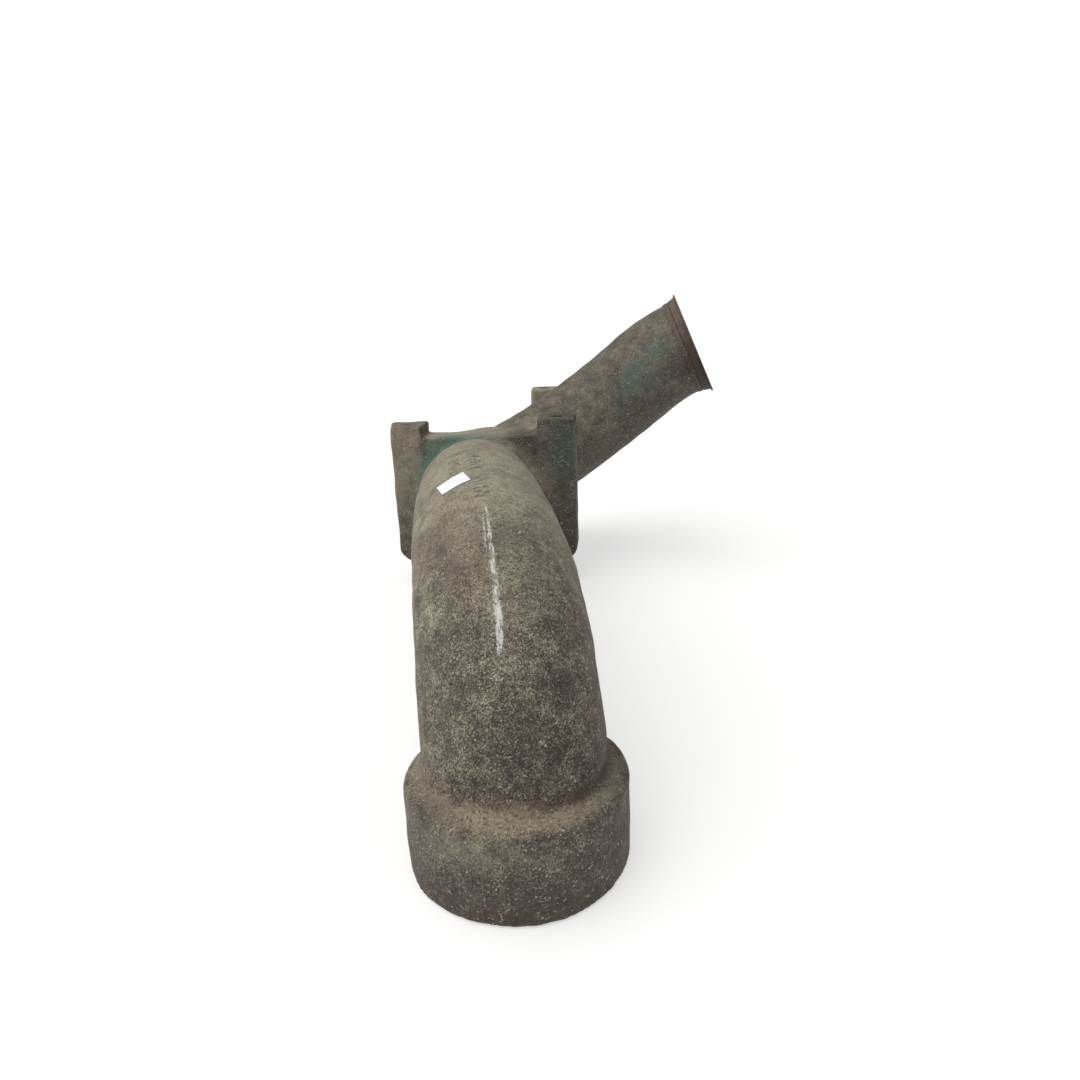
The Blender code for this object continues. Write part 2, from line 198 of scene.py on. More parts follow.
WAVES = (
    ((0.231, 0.052, 0.117), 0.6, 0.10),
    ((-0.083, 0.204, 0.152), 2.1, 0.10),
    ((0.121, -0.143, 0.247), 4.0, 0.09),
    ((0.061, 0.112, -0.083), 1.2, 0.14),
    ((-0.092, 0.071, 0.104), 5.2, 0.14),
    ((0.36, 0.21, -0.28), 3.3, 0.06),
    ((-0.27, 0.38, 0.22), 0.4, 0.06),
)


def unevenness(P):
    """Slow waves of a few tenths of a millimetre, as sand casting leaves."""
    out = np.zeros(len(P))
    for k, phase, size in WAVES:
        out += size * np.sin(P @ np.array(k) + phase)
    return out


def fields(P):
    """(whole casting, rear post and its foot) in mm, negative inside the metal."""
    x, y, z = P[:, 0], P[:, 1], P[:, 2]
    rel = P - AT
    lx, ly = rel @ EX, rel @ EY
    d, s = path_distance(P)
    pipe = np.maximum(d - PIPE_R, 34.0 - z)
    r = np.hypot(x, y)
    edge = np.where(z > BELL_H / 2, 3.2, 1.0)
    zb = z + BELL_TILT * y * np.clip(z / BELL_H, 0, 1)
    q0, q1 = r - (BELL_R - edge), np.abs(zb - BELL_H / 2) - (BELL_H / 2 - edge)
    bell = np.hypot(np.maximum(q0, 0), np.maximum(q1, 0)) + np.minimum(np.maximum(q0, q1), 0) - edge
    near = smin(pipe, bell, 9.0 - 5.5 * np.clip(1.3 * x / np.maximum(r, 1.0), 0, 1))
    left = slab(lx, ly, z, LEFT - 9.0, LEFT_IN, 0, POST_DEEP, POST_LOW, TOP_LEFT, 2.5, 1.0)
    left = smax(left, (-(lx - LEFT) - 0.225 * ly) / 1.025, 3.0)
    left = smax(left, (-(lx - LEFT) - (z - POST_LOW) + 8.5) / math.sqrt(2), 1.5)
    right = slab(lx, ly, z, RIGHT_IN, RIGHT, 0, POST_DEEP, POST_LOW, TOP_RIGHT, 6.0, 1.6)
    right = smax(right, ((lx - RIGHT) - (z - POST_LOW) + 8.0) / math.sqrt(2), 6.0)
    web = slab(lx, ly, z, LEFT_IN - 8, RIGHT_IN + 8, 0, WEB_DEEP, POST_LOW, WEB_TOP, 1.6, 1.6)
    bracket = smin(smin(left, web, 7.0), right, 7.0)
    fillet = 24.0 - 17.0 * np.clip((z - 122.0) / 34.0, 0, 1) * np.clip((34.0 - ly) / 14.0, 0, 1)
    fillet = fillet + 1.0 * np.clip((ly - 26.0) / 10.0, 0, 1)
    rear = slab(lx, ly, z, REAR[0], REAR[1], REAR[2], REAR[3], POST_LOW, REAR[4], 6.0, 1.6)
    foot = slab(lx, ly, z, 39.7, 61.7, 112, 168, 58, 156, 3.0, 3.0)
    back = smin(rear, foot, 8.0)
    whole = smin(near, bracket, fillet)
    whole = np.maximum(smin(whole, back, 9.0) - unevenness(P), -z)
    bore = np.where(z > SOCKET_D - 1, d - BORE_R, 99.0)
    whole = np.maximum(whole, -np.minimum(bore, 99.0))
    socket = np.maximum(r - SOCKET_R - 1.5 * np.clip((1.5 - z) / 1.5, 0, 1), z - SOCKET_D)
    socket = np.minimum(socket, np.maximum(r - 58.0, np.abs(z - 16.0) - 3.0))
    whole = np.maximum(whole, -socket)
    whole = np.maximum(whole, s - S_PIPE_END)
    for bx, by in BOLTS:
        whole = np.maximum(whole, 6.75 - np.hypot(lx - bx, ly - by))
    apart = np.maximum(np.maximum(96.0 - ly, lx - 74.0), 26.0 - lx)
    apart = np.maximum(apart, 1.2 - (d - PIPE_R))
    return np.maximum(whole, -apart), np.maximum(whole, apart)


# ------------------------------------------------------------------ meshing
def mesh_fields():
    h = VOXEL
    lo = np.array(CAD_BOX[0]) * 1000 - 4 * h
    hi = np.array(CAD_BOX[1]) * 1000 + 4 * h
    n = 8
    blocks = np.ceil((hi - lo) / (n * h)).astype(int)
    shape = blocks * n
    far = 3.0 * h
    grids = [np.empty(shape, np.float32) for _ in range(2)]
    ijk = np.stack(np.meshgrid(*[np.arange(b) for b in blocks], indexing="ij"), -1).reshape(-1, 3)
    centres = lo + (ijk * n + (n - 1) / 2) * h
    coarse = fields(centres)
    reach = n * h * 0.5 * math.sqrt(3) * 1.25 + 2 * h
    local = np.stack(np.meshgrid(*[np.arange(n)] * 3, indexing="ij"), -1).reshape(-1, 3)
    active = (np.abs(coarse[0]) < reach) | (np.abs(coarse[1]) < reach)
    for g, grid in enumerate(grids):
        fill = np.where(coarse[g] > 0, far, -far).astype(np.float32).reshape(blocks)
        grid[:] = fill.repeat(n, 0).repeat(n, 1).repeat(n, 2)
    chosen = ijk[active]
    for i in range(0, len(chosen), 800):
        part = chosen[i : i + 800]
        index = (part[:, None, :] * n + local[None]).reshape(-1, 3)
        values = fields(lo + index * h)
        for grid, value in zip(grids, values):
            grid[index[:, 0], index[:, 1], index[:, 2]] = np.clip(value, -far, far)
    out = []
    for grid in grids:
        volume = openvdb.FloatGrid(far)
        volume.copyFromArray(grid, tolerance=0.0)
        points, quads = volume.convertToQuads(isovalue=0.0)
        points = np.asarray(points, float) * h + lo
        out.append((points, np.asarray(quads)))
    return out


def make_mesh(name, points, quads):
    mesh = bpy.data.meshes.new(name)
    mesh.vertices.add(len(points))
    mesh.vertices.foreach_set("co", (points * 0.001).astype(np.float32).ravel())
    mesh.loops.add(quads.size)
    mesh.loops.foreach_set("vertex_index", quads.astype(np.int32).ravel())
    mesh.polygons.add(len(quads))
    mesh.polygons.foreach_set("loop_start", np.arange(0, quads.size, 4, dtype=np.int32))
    mesh.polygons.foreach_set("loop_total", np.full(len(quads), 4, np.int32))
    mesh.update(calc_edges=True)
    mesh.validate()
    return mesh


def cut(edit, point, normal, only=None):
    """Splits a bmesh along a plane into two closed halves: (behind the plane, in front of it)."""
    halves = []
    point, normal = Vector(point) * 0.001, Vector(normal).normalized()
    for side in (0, 1):
        half = edit.copy()
        geom = half.verts[:] + half.edges[:] + half.faces[:]
        bmesh.ops.bisect_plane(
            half,
            geom=geom,
            dist=1e-7,
            plane_co=point,
            plane_no=normal,
            clear_outer=side == 0,
            clear_inner=side == 1,
        )
        rim = [e for e in half.edges if e.is_boundary]
        made = bmesh.ops.triangle_fill(
            half, use_beauty=True, use_dissolve=False, edges=rim, normal=normal if side == 0 else -normal
        )
        faces = [f for f in made["geom"] if isinstance(f, bmesh.types.BMFace)]
        want = normal if side == 0 else -normal
        for f in faces:
            if f.normal.dot(want) < 0:
                f.normal_flip()
            f.smooth = False
        for e in rim:
            if e.is_valid:
                e.smooth = False
        halves.append(half)
    return halves


def islands(edit, keep):
    """Removes loose islands of fewer faces than keep."""
    left = set(edit.faces)
    while left:
        stack, group = [left.pop()], []
        while stack:
            f = stack.pop()
            group.append(f)
            for e in f.edges:
                for g in e.link_faces:
                    if g in left:
                        left.remove(g)
                        stack.append(g)
        if len(group) < keep:
            bmesh.ops.delete(edit, geom=group, context="FACES")


def world_of(x, y, z=0.0):
    return AT + EX * x + EY * y + np.array((0, 0, z))


# ------------------------------------------------------------------ surface marks
S_FRONT = 502.4
# (arc length or height mm, degrees round the pipe or the bell, size along, size round, strength)
PIPE_DARK = (
    (64, 2, 13, 26, 0.48),
    (52, -8, 9, 30, 0.45),
    (82, 26, 9, 8, 0.75),
    (98, -36, 14, 13, 0.35),
    (84, -46, 20, 16, 0.30),
    (100, 40, 34, 26, 0.35),
    (122, 16, 16, 14, 0.35),
    (152, -42, 16, 12, 0.35),
    (128, -34, 10, 9, 0.30),
    (150, 22, 20, 15, 0.25),
    (152, 14, 11, 22, 0.45),
    (60, 60, 40, 30, 0.45),
)
PIPE_LIGHT = (
    (195, 0, 34, 46, 1.0),
    (215, 32, 22, 20, 0.40),
    (262, -6, 60, 46, 0.95),
    (340, 0, 90, 44, 0.75),
    (166, -20, 16, 14, 0.45),
    (124, 8, 14, 16, 0.35),
    (110, -50, 40, 14, 0.12),
)
PIPE_TAN = ((168, -46, 14, 12, 0.8), (134, -22, 12, 12, 0.7), (205, 36, 18, 10, 0.5))


def blob(s, a, table, radius=PIPE_R):
    out = np.zeros(len(s))
    for s0, a0, ls, la, k in table:
        turn = (a - math.radians(a0) + math.pi) % (2 * math.pi) - math.pi
        out = np.maximum(out, k * np.exp(-0.5 * ((s - s0) / ls) ** 2 - 0.5 * (turn * radius / la) ** 2))
    return out


def near3(P, points):
    out = np.zeros(len(P))
    for x, y, z, size, k in points:
        d2 = ((P - np.array((x, y, z))) ** 2).sum(1)
        out = np.maximum(out, k * np.exp(-0.5 * d2 / size**2))
    return out


def marks(P):
    """Per-point masks: dark (stains and painted shade), light (dust and painted highlight), tan, teal, and pipe
    coordinates in mm.
    """
    d, s = path_distance(P)
    tangent = np.zeros_like(P)
    centre = np.zeros_like(P)
    steps = np.arange(0, LENGTH + 41, 1.0)
    pts, tans = zip(*[along(v) for v in steps])
    pts, tans = np.array(pts), np.array(tans)
    for i in range(3):
        centre[:, i] = np.interp(s, steps, pts[:, i])
        tangent[:, i] = np.interp(s, steps, tans[:, i])
    side = np.cross(tangent, (0.0, 0.0, 1.0))
    length = np.linalg.norm(side, axis=1)
    side[length < 1e-6] = (1, 0, 0)
    side /= np.maximum(np.linalg.norm(side, axis=1), 1e-9)[:, None]
    up = np.cross(side, tangent)
    v = P - centre
    angle = np.arctan2((v * side).sum(1), (v * up).sum(1))
    rel = P - AT
    lx, ly, z = rel @ EX, rel @ EY, P[:, 2]
    az = np.arctan2(P[:, 0], -P[:, 1])  # round the bell, from the side that faces -Y towards +X
    zb = z + BELL_TILT * P[:, 1] * np.clip(z / BELL_H, 0, 1)
    rr = np.hypot(P[:, 0], P[:, 1])
    in_bell = np.clip((56.0 - zb) / 4.0, 0, 1) * (P[:, 1] < 80)
    on_bracket = (np.clip((ly + 6) / 6, 0, 1)) * np.clip((d - 50) / 8, 0, 1)

    dark = blob(s, angle, PIPE_DARK) * (1 - in_bell)
    # Painted shade: the lower sides and underside of the pipe are darkened, more so beyond s = 560 mm.
    low_side_shade = np.clip((np.abs(angle) - 1.2) / 1.2, 0, 1) * (1 - in_bell)
    dark = np.maximum(dark, (0.35 + 0.3 * (s > 560)) * low_side_shade)
    far_end = np.clip((s - (S_PIPE_END - 50)) / 40, 0, 1) * np.clip((angle - 1.30) / 0.5, 0, 1)
    dark = np.maximum(dark, 0.90 * far_end)
    dark = np.maximum(dark, blob(s, angle, ((745, 82, 40, 20, 0.35),)))
    # Darker patches on the bell; the band at its foot and the patches down its right side are painted shade, away from
    # the key light.
    bell_dark = blob(
        z, az, ((24, 46, 15, 24, 0.9), (0, 5, 20, 95, 1.0), (36, 20, 7, 40, 0.45), (50, -66, 9, 18, 0.50), (47, 5, 4, 34, 0.50), (20, -50, 16, 20, 0.25), (30, 80, 20, 30, 0.8)), BELL_R
    )
    dark = np.maximum(dark, bell_dark * in_bell)
    # Painted shade in the crease where the neck fillet meets the pipe, darkest on the right side, away from the key
    # light; its darkest part also goes into the rust attribute as painted shade.
    crease = np.exp(-0.5 * ((zb - 54.2) / 2.6) ** 2) * np.exp(-0.5 * ((d - 51.5) / 1.7) ** 2) * (P[:, 1] < 60)
    deep_crease_shade = np.clip(1.25 * crease * np.clip(1.5 * np.sin(az + 0.10), 0, 1), 0, 1)
    dark = np.maximum(dark, crease * (0.25 + 0.75 * np.clip(1.4 * np.sin(az + 0.25), 0, 1)))
    # Painted shade: a dark line along the rounded edge of the bell's shoulder.
    rim_shade_line = np.exp(-0.5 * ((zb - 46.6) / 1.0) ** 2) * (rr > 59.5) * np.clip(1.2 - np.abs(az - 0.15), 0, 1)
    dark = np.maximum(dark, 0.75 * rim_shade_line)

    light = blob(s, angle, PIPE_LIGHT) * (1 - in_bell)
    # Painted shade: the pipe darker behind the bracket.
    dark = np.maximum(dark, 0.20 * np.clip((ly - 50) / 30, 0, 1) * (d < PIPE_R + 4))
    light *= 1 - on_bracket
    # Painted highlight: the top of the web lighter.
    web_top_highlight = np.clip((z - 154) / 3, 0, 1) * on_bracket * np.clip((lx - LEFT_IN - 2) / 6, 0, 1) * np.clip((34 - lx) / 28, 0, 1)
    light = np.maximum(light, 0.95 * web_top_highlight)
    light = np.maximum(light, 0.45 * on_bracket * (lx < LEFT_IN - 2) * np.clip((z - 60) / 50, 0, 1))
    light = np.maximum(light, 1.2 * np.clip((ly - 150) / 8, 0, 1) * np.clip((d - 50.5) / 3, 0, 1))

    tan = blob(s, angle, PIPE_TAN) * (1 - in_bell)
    # The ledge on the bell's shoulder gets dust and a painted highlight, both strongest on its left side where the key
    # light falls; the shoulder rim gets a faint painted highlight.
    key_lit_left_side = np.clip(0.85 - 1.1 * np.sin(az), 0, 1) * np.clip(1.25 + 1.1 * np.sin(az + 0.25), 0.3, 1)
    ledge = np.clip((zb - 48.6) / 0.9, 0, 1) * np.clip((58.4 - rr) / 1.6, 0, 1) * np.clip((58.0 - zb) / 2.5, 0, 1)
    ledge = ledge * (P[:, 1] < 80) * np.clip((d - 51.2) / 1.0, 0, 1)
    rim = np.clip((zb - 46.8) / 1.2, 0, 1) * np.clip((rr - 56.6) / 1.4, 0, 1) * (P[:, 1] < 80) * (rr < 64)
    tan = np.maximum(tan, ledge * (0.30 + 0.55 * key_lit_left_side))
    light = np.maximum(light, ledge * (0.35 + 0.45 * key_lit_left_side))
    light = np.maximum(light, 0.12 * rim)
    # Painted highlight with warm dust on the left front of the bell, just below the shoulder.
    lower_left = np.exp(-0.5 * ((zb - 41.0) / 5.0) ** 2 - 0.5 * ((az + 0.62) / 0.28) ** 2) * (rr > 57) * (P[:, 1] < 80)
    light = np.maximum(light, 0.50 * lower_left)
    tan = np.maximum(tan, 0.45 * lower_left)
    tan = np.maximum(tan, 0.35 * np.clip((22 - z) / 14, 0, 1) * in_bell)
    tan = np.maximum(tan, near3(P, ((*world_of(LEFT + 12, 4, 150), 26, 0.4), (*world_of(RIGHT_IN + 12, 0, 100), 34, 0.5))))
    rear = np.clip((ly - 150) / 8, 0, 1) * np.clip((d - 50.5) / 3, 0, 1)
    tan = np.maximum(tan, 0.30 * rear)
    tan = np.maximum(tan, 0.9 * crease)

    # Paint left on the front fillet, the right post and one patch of the outlet pipe.
    front = np.exp(-0.5 * (np.minimum(ly + 2, 0) / 15.0) ** 2) * np.clip((82 - d) / 20, 0, 1) * np.clip((14 - ly) / 6, 0, 1)
    around = 0.30 + 0.70 * np.exp(-0.5 * ((angle + 0.85) / 0.6) ** 2)
    teal = front * around * 1.25
    teal = np.maximum(teal, near3(P, ((*world_of(-40, 0, 146), 13, 0.8), (*world_of(-20, 2, 154), 12, 0.9))))
    teal = np.maximum(
        teal,
        near3(
            P,
            (
                (*world_of(RIGHT, 8, 142), 26, 0.95),
                (*world_of(RIGHT, 6, 96), 24, 0.7),
                (*world_of(RIGHT - 14, 0, 160), 18, 0.75),
                (*world_of(RIGHT - 20, 0, 125), 26, 0.7),
                (*world_of(RIGHT_IN - 10, 0, 136), 24, 0.6),
                (*world_of(RIGHT_IN + 8, 0, 60), 24, 0.4),
                (*world_of(LEFT_IN - 8, 0, 128), 20, 0.4),
                (*world_of(LEFT + 14, 0, 104), 18, 0.25),
            ),
        )
        * on_bracket,
    )
    teal = np.maximum(teal, blob(s, angle, ((750, 80, 34, 15, 0.85), (716, 86, 24, 12, 0.55), (790, 72, 16, 15, 0.75), (768, 102, 24, 13, 0.60))))

    # Painted shade: the right post darkens towards its right edge, which turns away from the light, and the web front
    # darkens in the recess beside it.
    post_edge_shade = (0.35 + 0.65 * np.clip((lx - 62) / 20, 0, 1)) * (lx > RIGHT_IN + 2) * on_bracket * (ly < 60)
    web_front_shade = on_bracket * np.clip((lx - 6) / 28, 0, 1) * np.clip((RIGHT_IN + 14 - lx) / 14, 0, 1) * np.clip((30 - ly) / 18, 0, 1)
    under = on_bracket * (ly < 40) * np.clip((96 - z) / 60, 0, 1) * 0.35
    dark = np.maximum(dark, np.maximum(1.0 * post_edge_shade, 0.6 * web_front_shade))
    dark = np.maximum(dark, 0.35 * on_bracket * (lx > RIGHT_IN - 4) * (ly < 60))
    dark = np.maximum(dark, under)
    # Painted shade in the inner corner where the web meets the right post.
    dark = np.maximum(dark, near3(P, ((*world_of(RIGHT_IN + 6, 0, 72), 24, 1.0), (*world_of(RIGHT_IN + 2, 0, 100), 16, 0.7))) * on_bracket)
    tops = np.clip((z - np.where(lx < 0, TOP_LEFT, TOP_RIGHT) + 1.6) / 1.2, 0, 1) * on_bracket * (ly < 60)
    # Painted shade on the inner side face of the left post, which faces away from the light.
    inner_face_shade = on_bracket * (ly > -1) * (ly < 45) * np.clip((lx - LEFT_IN + 2.5) / 1.5, 0, 1) * (lx < LEFT_IN + 3) * (z > WEB_TOP)
    dark = np.maximum(dark, 0.8 * inner_face_shade)
    dark = np.maximum(dark, 0.45 * tops)
    along_end = np.clip((s - (S_PIPE_END - 9)) / 5, 0, 1) * (np.abs(d - PIPE_R) < 4)
    inside = (d < BORE_R + 2.5) & (z > 30)
    return {
        "dark": np.clip(dark, 0, 1),
        "light": np.clip(light, 0, 1),
        "tan": np.clip(tan, 0, 1),
        "teal": np.clip(teal, 0, 1),
        "rust_and_crease_shade": np.clip(np.maximum(np.maximum(along_end * 0.7, 0.8 * inside), deep_crease_shade), 0, 1),
        "coarse": (1.0 - 0.60 * np.clip((P[:, 1] - 230.0) / 120.0, 0, 1)) * (1.0 - 0.12 * in_bell),
        "pipe": np.stack([s, angle * PIPE_R, d], 1),
    }


def set_marks(obj):
    mesh = obj.data
    co = np.empty(len(mesh.vertices) * 3, np.float32)
    mesh.vertices.foreach_get("co", co)
    found = marks(co.reshape(-1, 3).astype(float) * 1000)
    for name, value in found.items():
        kind = "FLOAT_VECTOR" if value.ndim == 2 else "FLOAT"
        attribute = mesh.attributes.new(name, kind, "POINT")
        attribute.data.foreach_set("vector" if value.ndim == 2 else "value", value.astype(np.float32).ravel())


# ------------------------------------------------------------------ materials
class Graph:
    """Short names for the nodes of one material."""

    def __init__(self, name):
        self.mat = bpy.data.materials.new(name)
        self.mat.use_nodes = True
        self.tree = self.mat.node_tree
        self.shader = self.tree.nodes["Principled BSDF"]

    def node(self, kind, **settings):
        made = self.tree.nodes.new(kind)
        for key, value in settings.items():
            setattr(made, key, value)
        return made

    def put(self, socket, value):
        if isinstance(value, bpy.types.NodeSocket):
            self.tree.links.new(value, socket)
        elif value is not None:
            socket.default_value = value

    def math(self, op, a, b=None, c=None, clamp=False):
        n = self.node("ShaderNodeMath", operation=op, use_clamp=clamp)
        for socket, value in zip(n.inputs, (a, b, c)):
            self.put(socket, value)
        return n.outputs[0]

    def noise(self, vector, size, detail=3.0, rough=0.55, distortion=0.0, shift=0.0):
        if shift:
            n = self.node("ShaderNodeVectorMath", operation="ADD")
            self.put(n.inputs[0], vector)
            n.inputs[1].default_value = (shift, shift * 0.7, -shift * 1.3)
            vector = n.outputs[0]
        n = self.node("ShaderNodeTexNoise")
        self.put(n.inputs["Vector"], vector)
        n.inputs["Scale"].default_value = 1.0 / size
        n.inputs["Detail"].default_value = detail
        n.inputs["Roughness"].default_value = rough
        n.inputs["Distortion"].default_value = distortion
        return n.outputs["Fac"]

    def map(self, value, a, b, c=0.0, d=1.0):
        n = self.node("ShaderNodeMapRange", interpolation_type="SMOOTHSTEP")
        self.put(n.inputs["Value"], value)
        for socket, v in zip(("From Min", "From Max", "To Min", "To Max"), (a, b, c, d)):
            n.inputs[socket].default_value = v
        return n.outputs["Result"]

    def mix(self, share, a, b):
        n = self.node("ShaderNodeMix", data_type="RGBA")
        self.put(n.inputs["Factor"], share)
        for socket, value in ((n.inputs["A"], a), (n.inputs["B"], b)) if False else ((n.inputs[6], a), (n.inputs[7], b)):
            self.put(socket, value if isinstance(value, bpy.types.NodeSocket) else (*value, 1.0))
        return n.outputs[2]

    def ramp(self, value, stops):
        n = self.node("ShaderNodeValToRGB")
        self.put(n.inputs["Fac"], value)
        ramp = n.color_ramp
        while len(ramp.elements) < len(stops):
            ramp.elements.new(0.5)
        for element, (at, colour) in zip(ramp.elements, stops):
            element.position = at
            element.color = (*colour, 1.0)
        return n.outputs["Color"]

    def attribute(self, name, output="Fac"):
        n = self.node("ShaderNodeAttribute", attribute_type="GEOMETRY", attribute_name=name)
        return n.outputs[output]

    def object_mm(self):
        n = self.node("ShaderNodeTexCoord")
        scale = self.node("ShaderNodeVectorMath", operation="SCALE")
        self.tree.links.new(n.outputs["Object"], scale.inputs[0])
        scale.inputs["Scale"].default_value = 1000.0
        return scale.outputs[0]

    def bump(self, height, strength, distance, normal=None):
        n = self.node("ShaderNodeBump")
        n.inputs["Strength"].default_value = strength
        n.inputs["Distance"].default_value = distance
        self.put(n.inputs["Height"], height)
        if normal is not None:
            self.put(n.inputs["Normal"], normal)
        return n.outputs["Normal"]


def cast_material(name):
    g = Graph(name)
    mm = g.object_mm()
    big = g.noise(mm, 42, 2, 0.5)
    patch = g.noise(mm, 16, 5, 0.6, 0.4, 31)
    mid = g.noise(mm, 7.5, 6, 0.65, 0.2, 57)
    fine = g.noise(mm, 2.0, 4, 0.7, 0.0, 83)
    grit = g.noise(mm, 0.85, 2, 0.6, 0.3, 11)
    v = g.math("MULTIPLY_ADD", g.math("SUBTRACT", big, 0.5), 0.30, 0.465)
    v = g.math("MULTIPLY_ADD", g.math("SUBTRACT", patch, 0.5), 0.95, v)
    coarse = g.attribute("coarse")
    speck = g.math("MULTIPLY", g.math("SUBTRACT", mid, 0.5), 1.20)
    speck = g.math("MULTIPLY_ADD", g.math("SUBTRACT", fine, 0.5), 0.95, speck)
    speck = g.math("MULTIPLY_ADD", g.math("SUBTRACT", grit, 0.5), 2.4, speck)
    v = g.math("MULTIPLY_ADD", speck, coarse, v)
    dark, light = g.attribute("dark"), g.attribute("light")
    tan, teal, rust_and_crease_shade = g.attribute("tan"), g.attribute("teal"), g.attribute("rust_and_crease_shade")
    # The light mask lifts and the dark mask lowers the tone: stains and dust, with painted highlight and painted
    # shade.
    v = g.math("MULTIPLY_ADD", light, 0.17, v)
    v = g.math("MULTIPLY_ADD", g.math("MULTIPLY", dark, g.map(patch, 0.25, 0.6, 0.5, 1.0)), -0.40, v)
    colour = g.ramp(
        v,
        (
            (0.05, (0.027, 0.022, 0.0165)),
            (0.28, (0.070, 0.059, 0.043)),
            (0.50, (0.138, 0.119, 0.086)),
            (0.74, (0.250, 0.224, 0.167)),
            (0.98, (0.42, 0.385, 0.295)),
        ),
    )
    # A smoother sandy film where the light mask is high: dust, and painted highlight on the lit ledge, the web top and
    # the left sides.
    dust_and_highlight = g.math("MULTIPLY", light, g.map(mid, 0.3, 0.6, 0.45, 0.8))
    colour = g.mix(dust_and_highlight, colour, g.ramp(fine, ((0.2, (0.166, 0.146, 0.106)), (0.5, (0.270, 0.244, 0.180)), (0.85, (0.400, 0.366, 0.272)))))
    # Brown dirt and warm dust.
    warm = g.math("MULTIPLY", tan, g.map(mid, 0.35, 0.62, 0.15, 0.85))
    colour = g.mix(warm, colour, g.ramp(fine, ((0.25, (0.10, 0.072, 0.048)), (0.8, (0.25, 0.19, 0.125)))))
    purple = g.math("MULTIPLY", g.map(g.noise(mm, 24, 4, 0.6, 0.3, 203), 0.52, 0.68), 0.45)
    colour = g.mix(purple, colour, g.ramp(fine, ((0.3, (0.046, 0.036, 0.031)), (0.8, (0.125, 0.104, 0.084)))))
    # Worn paint: edges broken by the grain.
    ragged = g.math("MULTIPLY_ADD", g.math("SUBTRACT", mid, 0.5), 0.9, teal)
    ragged = g.math("MULTIPLY_ADD", g.math("SUBTRACT", fine, 0.5), 0.6, ragged)
    paint = g.math("MULTIPLY", g.map(ragged, 0.20, 1.20), 0.88)
    colour = g.mix(paint, colour, g.ramp(fine, ((0.25, (0.046, 0.092, 0.075)), (0.75, (0.125, 0.200, 0.163)))))
    # Rust at the pipe end and oxide in the bore, plus painted shade in the neck crease.
    rust_and_crease_shade_share = g.math("MULTIPLY", rust_and_crease_shade, g.map(mid, 0.3, 0.6, 0.35, 1.0))
    colour = g.mix(rust_and_crease_shade_share, colour, g.ramp(fine, ((0.25, (0.045, 0.030, 0.022)), (0.8, (0.15, 0.105, 0.075)))))
    # Stains, and painted shade from the dark mask in creases, recesses, undersides and shaded sides.
    colour = g.mix(g.math("MULTIPLY", dark, 0.54), colour, (0.030, 0.022, 0.0165))
    # Pale flecks and hair scratches.
    fleck = g.map(g.noise(mm, 1.5, 1, 0.5, 0.0, 401), 0.63, 0.71)
    fleck = g.math("MULTIPLY", fleck, g.map(g.noise(mm, 10, 3, 0.6, 0, 77), 0.4, 0.6, 0.15, 0.8))
    colour = g.mix(fleck, colour, (0.36, 0.335, 0.265))
    hair = g.math("ABSOLUTE", g.math("SUBTRACT", g.noise(mm, 4.2, 3, 0.55, 0.9, 911), 0.5))
    hair = g.math("MULTIPLY", g.map(hair, 0.0, 0.010, 1.0, 0.0), g.map(g.noise(mm, 9, 2, 0.5, 0, 15), 0.46, 0.60, 0.0, 0.70))
    colour = g.mix(hair, colour, (0.40, 0.37, 0.30))
    pit = g.math("MULTIPLY", g.map(g.noise(mm, 1.5, 1, 0.5, 0.0, 641), 0.29, 0.39, 0.8, 0.0), coarse)
    colour = g.mix(pit, colour, (0.035, 0.029, 0.025))

    # Marks laid out along the pipe: a chalk streak and worn ink strokes that spell nothing.
    split = g.node("ShaderNodeSeparateXYZ")
    g.put(split.inputs[0], g.attribute("pipe", "Vector"))
    s, a = split.outputs[0], split.outputs[1]
    wander = g.math("MULTIPLY", g.math("SUBTRACT", g.noise(mm, 22, 2, 0.5, 0, 5), 0.5), 4.0)
    jitter = g.math("MULTIPLY", g.math("SUBTRACT", g.noise(mm, 1.6, 2, 0.6, 0, 25), 0.5), 2.6)
    hatch = g.node("ShaderNodeMapping")
    g.put(hatch.inputs["Vector"], g.attribute("pipe", "Vector"))
    hatch.inputs["Rotation"].default_value = (0, 0, math.radians(24))
    hatch.inputs["Scale"].default_value = (0.22, 1.0, 1.0)
    strokes = g.noise(hatch.outputs[0], 1.3, 2, 0.6, 0, 13)
    grain = g.map(g.math("ADD", strokes, g.math("MULTIPLY", grit, 0.7)), 0.70, 0.98)
    total = None
    for s0, s1, at0, slope, wide0, wide1 in ((95, 178, -5.7, 0.034, 2.5, 0.9), (141, 172, -7.2, 0.045, 0.9, 0.6)):
        line = g.math("MULTIPLY_ADD", g.math("SUBTRACT", s, s0), slope, at0)
        off = g.math("ABSOLUTE", g.math("SUBTRACT", a, g.math("ADD", line, g.math("ADD", wander, jitter))))
        width = g.map(s, s0, s1, wide0, wide1)
        streak = g.map(g.math("DIVIDE", off, width), 0.6, 1.0, 1.0, 0.0)
        ends = g.math("MULTIPLY", g.map(s, s0 - 1, s0 + 3), g.map(s, s1 - 5, s1 + 1, 1.0, 0.0))
        streak = g.math("MULTIPLY", streak, ends)
        total = streak if total is None else g.math("MAXIMUM", total, streak)
    patchy = g.map(g.noise(mm, 9, 2, 0.5, 0, 44), 0.36, 0.50, 0.25, 1.0)
    total = g.math("MULTIPLY", g.math("MULTIPLY", total, patchy), g.math("MULTIPLY_ADD", grain, 0.8, 0.15))
    on_pipe = g.map(split.outputs[2], 49.0, 50.0)
    colour = g.mix(g.math("MULTIPLY", total, on_pipe), colour, (0.56, 0.57, 0.53))

